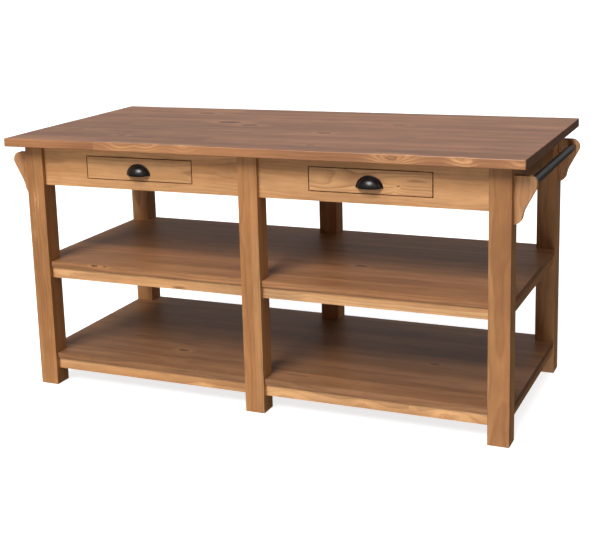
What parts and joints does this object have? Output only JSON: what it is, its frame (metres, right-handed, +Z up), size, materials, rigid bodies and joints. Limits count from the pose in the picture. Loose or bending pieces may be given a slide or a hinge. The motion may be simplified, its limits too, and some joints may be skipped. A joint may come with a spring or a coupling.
{
  "type": "kitchen work table",
  "caption": "Long pine kitchen work table with a thick top, square legs, full-width shelves, inset drawers with cup pulls and a towel rod on scroll brackets at each end.",
  "frame": {"origin": "on the floor, under the middle of the top", "axes": "+X along the table, -Y towards the drawer side, +Z up"},
  "size_m": [1.836, 0.86, 0.9],
  "materials": {
    "top_pine": "stained and waxed, satin",
    "leg_pine": "waxed pine, satin",
    "apron_pine": "waxed pine, satin",
    "shelf_pine": "stained and waxed, satin",
    "rail_pine": "waxed pine, satin",
    "bracket_pine": "waxed pine, satin",
    "rod_metal": "dark grey paint, satin",
    "drawer_front_pine": "waxed pine, satin",
    "pull_metal": "blackened, waxed",
    "screw_steel": "plain steel",
    "plain_pine": "bare planed pine"
  },
  "bodies": {
    "frame": {"tabletop": "top_pine", "leg_front_left": "leg_pine", "leg_front_middle": "leg_pine", "leg_front_right": "leg_pine", "leg_back_left": "leg_pine", "leg_back_middle": "leg_pine", "leg_back_right": "leg_pine", "apron_front_left": "apron_pine", "apron_front_right": "apron_pine", "apron_back_left": "apron_pine", "apron_back_right": "apron_pine", "apron_end_left": "apron_pine", "apron_end_right": "apron_pine", "divider_rail": "plain_pine", "shelf_panel_lower": "shelf_pine", "shelf_panel_upper": "shelf_pine", "lower_rail_front_left": "rail_pine", "lower_rail_front_right": "rail_pine", "lower_rail_back_left": "rail_pine", "lower_rail_back_right": "rail_pine", "upper_rail_front_left": "rail_pine", "upper_rail_front_right": "rail_pine", "upper_rail_back_left": "rail_pine", "upper_rail_back_right": "rail_pine", "lower_end_rail_left": "rail_pine", "lower_end_rail_right": "rail_pine", "upper_end_rail_left": "rail_pine", "upper_end_rail_right": "rail_pine", "lower_cross_rail": "plain_pine", "upper_cross_rail": "plain_pine", "bracket_front_left": "bracket_pine", "bracket_front_right": "bracket_pine", "bracket_back_left": "bracket_pine", "bracket_back_right": "bracket_pine", "towel_rod_left": "rod_metal", "towel_rod_right": "rod_metal", "runner_left_outer": "plain_pine", "runner_left_inner": "plain_pine", "runner_right_outer": "plain_pine", "runner_right_inner": "plain_pine", "kicker_left": "plain_pine", "kicker_right": "plain_pine", "top_buttons": "plain_pine", "wood_screws": "screw_steel", "bracket_dowels": "plain_pine"},
    "drawer_left": {"drawer_front_left": "drawer_front_pine", "drawer_left_side_outer": "plain_pine", "drawer_left_side_inner": "plain_pine", "drawer_left_back": "plain_pine", "drawer_left_bottom": "plain_pine", "cup_pull_left": "pull_metal", "pull_screws_left": "screw_steel"},
    "drawer_right": {"drawer_front_right": "drawer_front_pine", "drawer_right_side_outer": "plain_pine", "drawer_right_side_inner": "plain_pine", "drawer_right_back": "plain_pine", "drawer_right_bottom": "plain_pine", "cup_pull_right": "pull_metal", "pull_screws_right": "screw_steel"}
  },
  "joints": [
    {"name": "drawer_left_slide", "type": "slide", "parent": "frame", "child": "drawer_left", "axis": [0, -1, 0], "range_m": [0, 0.34]},
    {"name": "drawer_right_slide", "type": "slide", "parent": "frame", "child": "drawer_right", "axis": [0, -1, 0], "range_m": [0, 0.34]}
  ]
}
